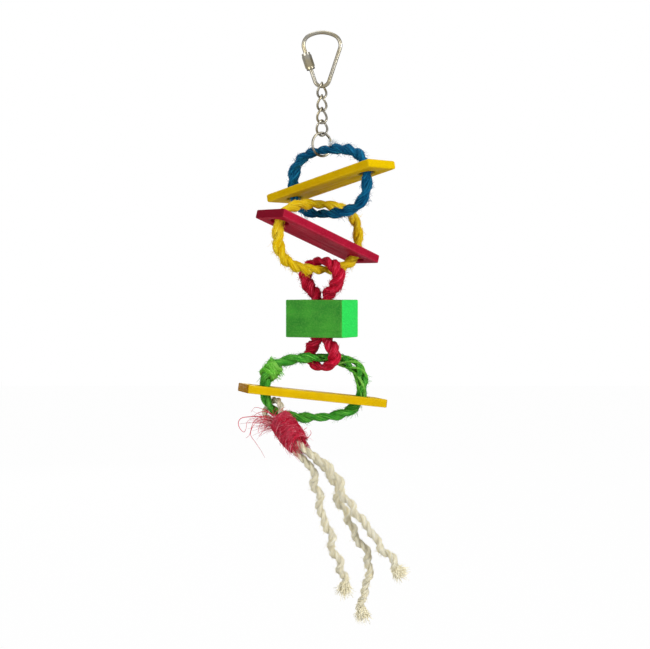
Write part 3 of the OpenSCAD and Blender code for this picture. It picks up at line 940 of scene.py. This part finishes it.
def cover_in_fibres(name, colour, rope, strands, finish, count, longest, thick, keep):
    """Fuzz along the strands of a closed rope, and fewer stray fibres off the rope itself."""
    fuzz = fibres(f"{name}_fuzz", strand_fuzz(strands, True, FUZZ_HAIRS, longest, keep), FUZZ_THICK)
    stray = fibres(f"{name}_stray_fibres", stray_hairs(*rope, True, count, longest - 1, keep), thick)
    for extra in (fuzz, stray):
        dress(extra, finish, f"{colour}_rope", colour)


def add_ring(colour, ring, fibre, hairs, swell, tie=None, loose=None):
    """A spliced rope ring with its stray fibres.

    swell and tie are spots where it is thicker or thinner, each an angle, a depth and a reach,
    and loose is the angle and the reach of a spot where its lay has come open.
    """
    flat, points, normal, radii = ring_route(ring)
    for angle, depth, reach in filter(None, (swell, tie)):
        radii = radii + depth * bump(flat, ring_flat(ring, angle), reach)
    spread = None
    if loose:
        angle, reach = loose
        spread = bump(flat, ring_flat(ring, angle), reach)
    name = f"{colour}_ring"
    rope, strands = lay_rope(f"{name}_rope", points, normal, radii, ROPE_LAY, True, open_lay=spread)
    dress(rope, fibre.laid, f"{colour}_rope", colour, f"{colour}_rope_ring")
    cover_in_fibres(name, colour, (points, radii), strands, fibre.loose, hairs, 7.0, 0.1, clear_of_links)


def add_rings():
    """Blue, yellow and green rings, with the loose yarns and fibres of the blue and the green one."""
    add_ring("blue", BLUE_RING, BLUE_SISAL, 260, (172, 0.9, 5.0))
    add_ring("yellow", YELLOW_RING, YELLOW_SISAL, 220, (185, 0.9, 5.0))
    add_ring("green", GREEN_RING, GREEN_SISAL, 240, (KNOT_ANGLE, 1.6, 4.5), (205, -0.8, PINCH_REACH), (28, 15.0))
    add_open_yarns()
    add_knot()
    add_pale_fray()


OPEN_ANGLE = 26
OPEN_REACH = 30
OPEN_YARNS = 5
FRAY_HAIRS = 46


def add_open_yarns():
    """Yarns of the green ring that have come out of their lay at the upper right."""
    flat, points, normal, _ = ring_route(GREEN_RING)
    middle = int(np.argmin(np.linalg.norm(flat - ring_flat(GREEN_RING, OPEN_ANGLE), axis=1)))
    order = [(middle + k) % len(points) for k in range(-OPEN_REACH, OPEN_REACH + 1)]
    outward = np.cross(along_route(points, True)[order], normal)
    t = np.linspace(-1, 1, len(order))
    swell = 1 - t ** 4
    yarns = []
    for k in range(OPEN_YARNS):
        phi = 2.4 * t * (1 + 0.15 * k) + TURN * k / OPEN_YARNS
        reach = 1.6 + (1.9 + 0.3 * sin(2.3 * k)) * swell
        route = points[order] + reach[:, None] * (np.cos(phi)[:, None] * outward + np.sin(phi)[:, None] * normal)
        radii = 0.95 * (0.45 + 0.55 * swell) * (1 + 0.12 * np.sin(6 * t + k))
        yarns.append(skin(f"open_yarn_{k}", route, outward, radii, 10, False, 4, 0.2, 6.0))
    dress(join("green_ring_open_yarns", yarns), LIME_TUFT.laid, "green_rope", "green")


def add_pale_fray():
    """Undyed fibre ends that stand up from the blue ring beside the jump ring."""
    hairs = []
    for _ in range(FRAY_HAIRS):
        start = np.array([random.uniform(4.5, 8.0), random.uniform(-8.0, -4.5), -73.5])
        lift = np.array([random.gauss(0, 0.5), random.gauss(0, 0.5), 1.0])
        length = random.uniform(2.0, 5.5)
        hairs.append([start + length * t * lift + np.array([0.8, 0, -0.5]) * t * t for t in (0, 0.35, 0.7, 1.0)])
    dress(fibres("blue_ring_pale_fray", hairs, 0.36), FRAYED_ENDS.loose, "blue_rope", "blue")


KNOT_ANGLE = 157
KNOT_TURNS = 4
KNOT_HAIRS = 150
KNOT_STEPS = 48


def add_knot():
    """Frayed knot: a few turns of yarn round the green ring, with its cut fibres."""
    spots = [ring_flat(GREEN_RING, KNOT_ANGLE + more) for more in (0, 1)]
    middle, ahead = turned_z(spots, GREEN_RING["yaw"], GREEN_RING["z"])
    way = (ahead - middle) / np.linalg.norm(ahead - middle)
    inward = squared(turned_z([(1, 0, -0.35)], GREEN_RING["yaw"])[0], way)
    aside = np.cross(way, inward)

    def round_rope(angle, along, out):
        """Point round the ring's rope at the knot."""
        return middle + way * along + out * (cos(angle) * inward + sin(angle) * aside)

    turns = []
    for k in range(KNOT_TURNS):
        route = np.array([round_rope(a, (k - 1.5) * 2.9 + 1.6 * sin(a + k), 4.4 + 0.5 * cos(a))
                          for a in np.linspace(0.3 * k, 0.3 * k + TURN, KNOT_STEPS)])
        turns.append(skin(f"knot_turn_{k}", route, way, np.full(KNOT_STEPS, 1.35), 12, False, 5, 0.3, 7.0))
    dress(join("green_knot_turns", turns), LIME_TUFT.laid, "green_rope", "green")
    hairs = []
    for k in range(KNOT_HAIRS):
        loose = k % 3 == 0
        first = random.gauss(0.2, 0.5) if loose else random.uniform(0, TURN)
        along = random.uniform(-5, 4)
        sweep = random.uniform(-0.5, 0.5) if loose else random.uniform(0.6, 1.6) * random.choice((-1, 1))
        lift = random.uniform(1.5, 5.0) if loose else random.uniform(0.2, 1.6)
        climb = random.uniform(-3, 3)
        hairs.append([round_rope(first + sweep * t, along + climb * t, 4.9 + lift * t) for t in HAIR_STEPS])
    dress(fibres("green_knot_tuft", hairs, 0.32), LIME_TUFT.loose, "green_rope", "green")


BLOCK_HALF_H = BLOCK_SIZE[2] / 2
# Right half of the loop, from the top down: distance from its middle, and height
RED_HALF = [
    (8, RED_TOP - 2), (13.5, RED_TOP - 9), (10.5, RED_TOP - 16.5), (RED_STRAND_X + 1.6, BLOCK_HALF_H + 4),
    (RED_STRAND_X, BLOCK_HALF_H - 2), (RED_STRAND_X, 0), (RED_STRAND_X, 2 - BLOCK_HALF_H),
    (RED_STRAND_X + 1.4, -BLOCK_HALF_H - 3.5), (9, RED_BOTTOM + 11.5), (10, RED_BOTTOM + 6.5),
    (6, RED_BOTTOM + 1.4),
]
RED_LAY = 15.0


def add_red_loop():
    """Red loop that goes down through the block and back up."""
    half = [(0, RED_TOP)] + RED_HALF + [(0, RED_BOTTOM)]
    flat = [(x, 0, z) for x, z in half] + [(-x, 0, z) for x, z in reversed(RED_HALF)]
    flat = even_steps(smooth_route(flat, SPAN_STEPS, closed=True), ROPE_STEP, closed=True)
    reach = 2 * RED_R
    pinch = bump(flat, (0, 0, RED_TOP), reach) + bump(flat, (0, 0, RED_BOTTOM), reach)
    full = RED_FULL_R + 0.5 * np.clip((np.abs(flat[:, 2]) - BLOCK_HALF_H - 2) / 4, 0, 1)
    radii = full - (full - PINCH_R) * pinch
    points = turned_z(flat, RED_YAW, BLOCK_Z)
    rope, strands = lay_rope("red_loop_rope", points, turned_z([(0, 1, 0)], RED_YAW)[0], radii, RED_LAY, True)
    dress(rope, RED_SISAL.laid, "red_rope", "red", "red_rope_loop")

    def in_the_open(point):
        """True outside the block and away from the rings."""
        return abs(point[2] - BLOCK_Z) > BLOCK_HALF_H + 2 and clear_of_links(point)

    cover_in_fibres("red_loop", "red", (points, radii), strands, RED_SISAL.loose, 260, 6.0, 0.11, in_the_open)


# Tassel head

def on_stem(m, d, e):
    """Point beside the tassel's tie: along the spread, the stem and the depth."""
    return TASSEL_AT + m * SPREAD + d * STEM + e * DEPTH


def add_fold():
    """Natural rope folded over the green ring and down inside the binding."""
    leg = FOLD_R + 0.15
    half = [(4.6, -4.7, 1.8), (6.5, -0.4, 0.2), (5.4, 4.6, 0), (leg + 0.5, WRAP_START - 0.5, 0),
            (leg, WRAP_START + 4, 0), (leg, (WRAP_START + WRAP_END) / 2, 0), (leg, WRAP_END - 1, 0)]
    route = [(-m, d, e) for m, d, e in reversed(half)] + [(0, -6.4, 2.4)] + half
    points = even_steps(smooth_route([on_stem(*p) for p in route], SPAN_STEPS), FOLD_STEP)
    radii = np.full(len(points), FOLD_R)
    rope, _ = lay_rope("fold_rope", points, np.array(DEPTH), radii, FOLD_LAY, False, sides=16)
    dress(rope, NATURAL_SISAL.laid, "natural_rope", "tassel", "tassel_loop")


def round_stem(angle, along, out):
    """Point round the stem, at an angle, a distance along it and a distance out from it."""
    return np.array(on_stem(out * cos(angle), along, out * sin(angle)))


WRAP_LENGTH = WRAP_END - WRAP_START
WRAP_STEPS = 40
CROSSINGS = 22
RED_HAIRS = 320
# Pink fibres of the binding, painted sheen
SHEEN_HAIRS = 60
SPILL_HAIRS = 150
RED_TUFT_HAIRS = 80
HAIR_THICK = 0.24


def wrap_out(along):
    """Distance from the stem to the middle of the winding's yarn, which is fuller halfway along."""
    return WRAP_R + 0.9 * sin(pi * min(max((along - WRAP_START) / WRAP_LENGTH, 0), 1))


def dress_binding(piece, finish, *nodes):
    """Finish of a piece of the binding."""
    dress(piece, finish, "red_winding", "tassel", *nodes)


def add_binding():
    """Red yarn wound round the stem, crossed by untidy turns and covered in loose fibres."""
    points = []
    for i in range((WRAP_TURNS - 1) * WRAP_STEPS + 1):
        t = i / WRAP_STEPS
        along = WRAP_START + WRAP_CORD / 2 + t * WRAP_PITCH
        sway = 0.6 * sin(0.9 * t) * cos(TURN * t + 0.7 * t)
        points.append(round_stem(TURN * t, along + sway, wrap_out(along)))
    points = np.array(points)
    far = distance_along(points)
    radii = (WRAP_CORD / 2 + 0.3) * (1 + 0.08 * np.sin(far * 0.8) + 0.06 * np.sin(far * 2.3))
    yarn = skin("binding_yarn", points, np.array(STEM), radii, 14, False, 4, 0.2, 6.0)
    dress_binding(yarn, RED_YARN.laid, "red_wrap")
    add_crossings()
    add_binding_fibres()
    add_binding_tufts()


def add_crossings():
    """Untidy turns of yarn that cross the winding."""
    crossings = []
    for k in range(CROSSINGS):
        middle = WRAP_START + WRAP_LENGTH * (0.12 + 0.76 * (k + random.random()) / CROSSINGS)
        slope = random.uniform(1.5, 4.5) * random.choice((-1, 1))
        first = random.uniform(0, TURN)
        route = []
        for a in np.linspace(0, random.uniform(3.5, 6.0), WRAP_STEPS):
            along = min(max(middle + slope * cos(a + first), WRAP_START), WRAP_END)
            route.append(round_stem(a + first, along, wrap_out(along) + 0.95))
        thick = np.full(len(route), random.uniform(0.45, 0.95))
        crossings.append(skin(f"crossing_{k}", np.array(route), np.array(STEM), thick, 8, False, 3, 0.2, 4.0))
    dress_binding(join("binding_crossings", crossings), RED_YARN.laid)


def add_binding_fibres():
    """Loose fibres that lie round the winding, a few of them pink as painted sheen."""
    hairs = []
    for _ in range(RED_HAIRS + SHEEN_HAIRS):
        start = random.uniform(0, TURN)
        along = random.uniform(WRAP_START - 1.0, WRAP_END + 1.0)
        sweep = random.uniform(0.4, 1.5) * random.choice((-1, 1))
        climb = random.uniform(-4.0, 5.0)
        lift = random.uniform(0.1, 1.7) ** 2
        hairs.append([round_stem(start + sweep * t, along + climb * t, wrap_out(along) + 1.1 + lift * t * t)
                      for t in (0, 0.25, 0.5, 0.75, 1)])
    dress_binding(fibres("binding_fibres", hairs[:RED_HAIRS], HAIR_THICK), RED_YARN.loose)
    dress_binding(fibres("binding_sheen_fibres", hairs[RED_HAIRS:], HAIR_THICK), PINK_SHEEN_YARN.loose)


def add_binding_tufts():
    """Fibres that spill from the lower end of the binding and stand off its upper end, some of those pink as
    painted sheen.
    """
    spill, tuft = [], []
    for _ in range(SPILL_HAIRS):
        angle = random.uniform(0, TURN)
        flare = random.uniform(-1.5, 2.0)
        length = random.uniform(5, 13)
        spill.append([round_stem(angle + 0.5 * t, WRAP_END - 2 + length * t, 5.4 + flare * t - 1.5 * t * t)
                      for t in HAIR_STEPS])
        start = round_stem(random.uniform(-1.2, 1.6), WRAP_START + random.uniform(-1, 4), 5.6)
        lift = np.array([random.gauss(-1.0, 0.4), random.gauss(-0.25, 0.3), random.gauss(0.35, 0.45)])
        length = random.uniform(4, 12)
        tuft.append([start + length * lift * t + np.array([0, 0, -2.5]) * t * t for t in HAIR_STEPS])
    dress_binding(fibres("binding_spill", spill, 0.2), RED_YARN.loose)
    dress_binding(fibres("binding_upper_tuft", tuft[:RED_TUFT_HAIRS], HAIR_THICK), RED_YARN.loose)
    dress_binding(fibres("binding_sheen_tuft", tuft[RED_TUFT_HAIRS:], 0.26), PINK_SHEEN_YARN.loose)


# Points of the longest fibres, the first of each inside the binding
LOOSE_ENDS = [
    [(-31, -18, -251), (-36, -20, -249), (-41, -21, -248.8), (-51, -21, -249.5), (-53.8, -21, -252.4),
     (-53, -21, -256.2), (-50.3, -21, -258.8), (-48.9, -21, -256.6), (-47.8, -21, -251.7), (-42.2, -21, -249.5)],
    [(-31, -18, -252), (-36, -20, -250), (-41.8, -20, -250.2), (-44.8, -20, -253.9), (-46.7, -20, -260.6),
     (-49.2, -20, -262.8)],
    [(-31, -19, -252), (-37, -21, -250.5), (-43, -21, -253), (-46, -21, -260), (-42.6, -21, -265.8),
     (-39.6, -21, -270.3), (-36.7, -21, -275.5)],
    [(-31, -17, -249), (-35, -18, -245.5), (-39, -18, -244), (-43.3, -18, -243.2), (-45.9, -18, -246.5)],
    [(-31, -18, -249), (-36, -19, -246), (-41, -19, -246.5), (-45, -19, -249.5)],
    [(-31, -19, -251), (-36, -21, -251), (-40, -21, -254), (-41, -21, -259)],
    [(-17, -26, -262), (-13, -26, -259), (-11.4, -26, -256.9), (-9.5, -26, -255.4)],
    [(-16, -27, -265), (-10, -27, -262.5), (-7, -27, -259.5), (-7.5, -27, -257)],
]


def add_loose_ends():
    """Long red fibres that hang off both ends of the binding."""
    hairs = [smooth_route(route, 6) for route in LOOSE_ENDS]
    dress_binding(fibres("binding_loose_ends", hairs, 0.4), RED_YARN.loose)


# Stage

FLOOR_Z = -0.43
FLOOR_SIZE = 6.0
FLOOR_COLOUR = (0.62, 0.62, 0.61, 1)
FLOOR_ROUGHNESS = 0.9
FLOOR_WHITE = 0.985
SKY_LIGHT = 0.24
# Name, place, power and size of each lamp
LAMPS = [("key", (0.95, -0.72, 0.15), 11.5, 0.5), ("fill", (-0.75, -0.9, -0.05), 7.0, 0.7),
         ("top", (0.0, 0.1, 0.75), 4.0, 0.6), ("back", (-0.35, 1.1, 0.1), 6.0, 0.8)]


def plainly_seen(tree):
    """1 for the rays that see the surround directly, in a mirror or through something clear."""
    rays = tree.nodes.new("ShaderNodeLightPath").outputs
    mirrored = math_node(tree, "MAXIMUM", rays["Is Glossy Ray"], rays["Is Transmission Ray"])
    return math_node(tree, "MAXIMUM", rays["Is Camera Ray"], mirrored)


def add_stage():
    """Pale floor, white surround and soft lamps from the right, the left, above and behind."""
    deselect()
    bpy.ops.mesh.primitive_plane_add(size=FLOOR_SIZE, location=(0, 0, FLOOR_Z))
    floor = bpy.context.object
    floor.name = "floor"
    pale = bpy.data.materials.new("pale_floor")
    pale.use_nodes = True
    tree = pale.node_tree
    principled = tree.nodes["Principled BSDF"]
    principled.inputs["Base Color"].default_value = FLOOR_COLOUR
    principled.inputs["Roughness"].default_value = FLOOR_ROUGHNESS
    blend = shade(tree, "MixShader", {0: times(tree, plainly_seen(tree), FLOOR_WHITE), 1: principled.outputs[0],
                                      2: shade(tree, "Emission", {})})
    tree.links.new(blend, tree.nodes["Material Output"].inputs["Surface"])
    floor.data.materials.append(pale)

    world = bpy.data.worlds.new("white_surround")
    bpy.context.scene.world = world
    world.use_nodes = True
    sky = world.node_tree
    background = sky.nodes["Background"].inputs
    background["Color"].default_value = (1, 1, 1, 1)
    strength = {"Value": plainly_seen(sky), "To Min": SKY_LIGHT, "To Max": 1.0}
    sky.links.new(shade(sky, "MapRange", strength, "Result"), background["Strength"])

    for name, place, power, size in LAMPS:
        bpy.ops.object.light_add(type="AREA", location=place)
        lamp = bpy.context.object
        lamp.name = name
        lamp.data.energy = power
        lamp.data.size = size
        turn_to_part(lamp)
    bpy.context.scene.view_settings.view_transform = "Standard"


deselect()
add_camera()
add_tails()
add_quick_link()
add_chain()
dress_solids()
add_slats()
add_block()
add_rings()
add_red_loop()
add_fold()
add_binding()
add_loose_ends()
add_stage()
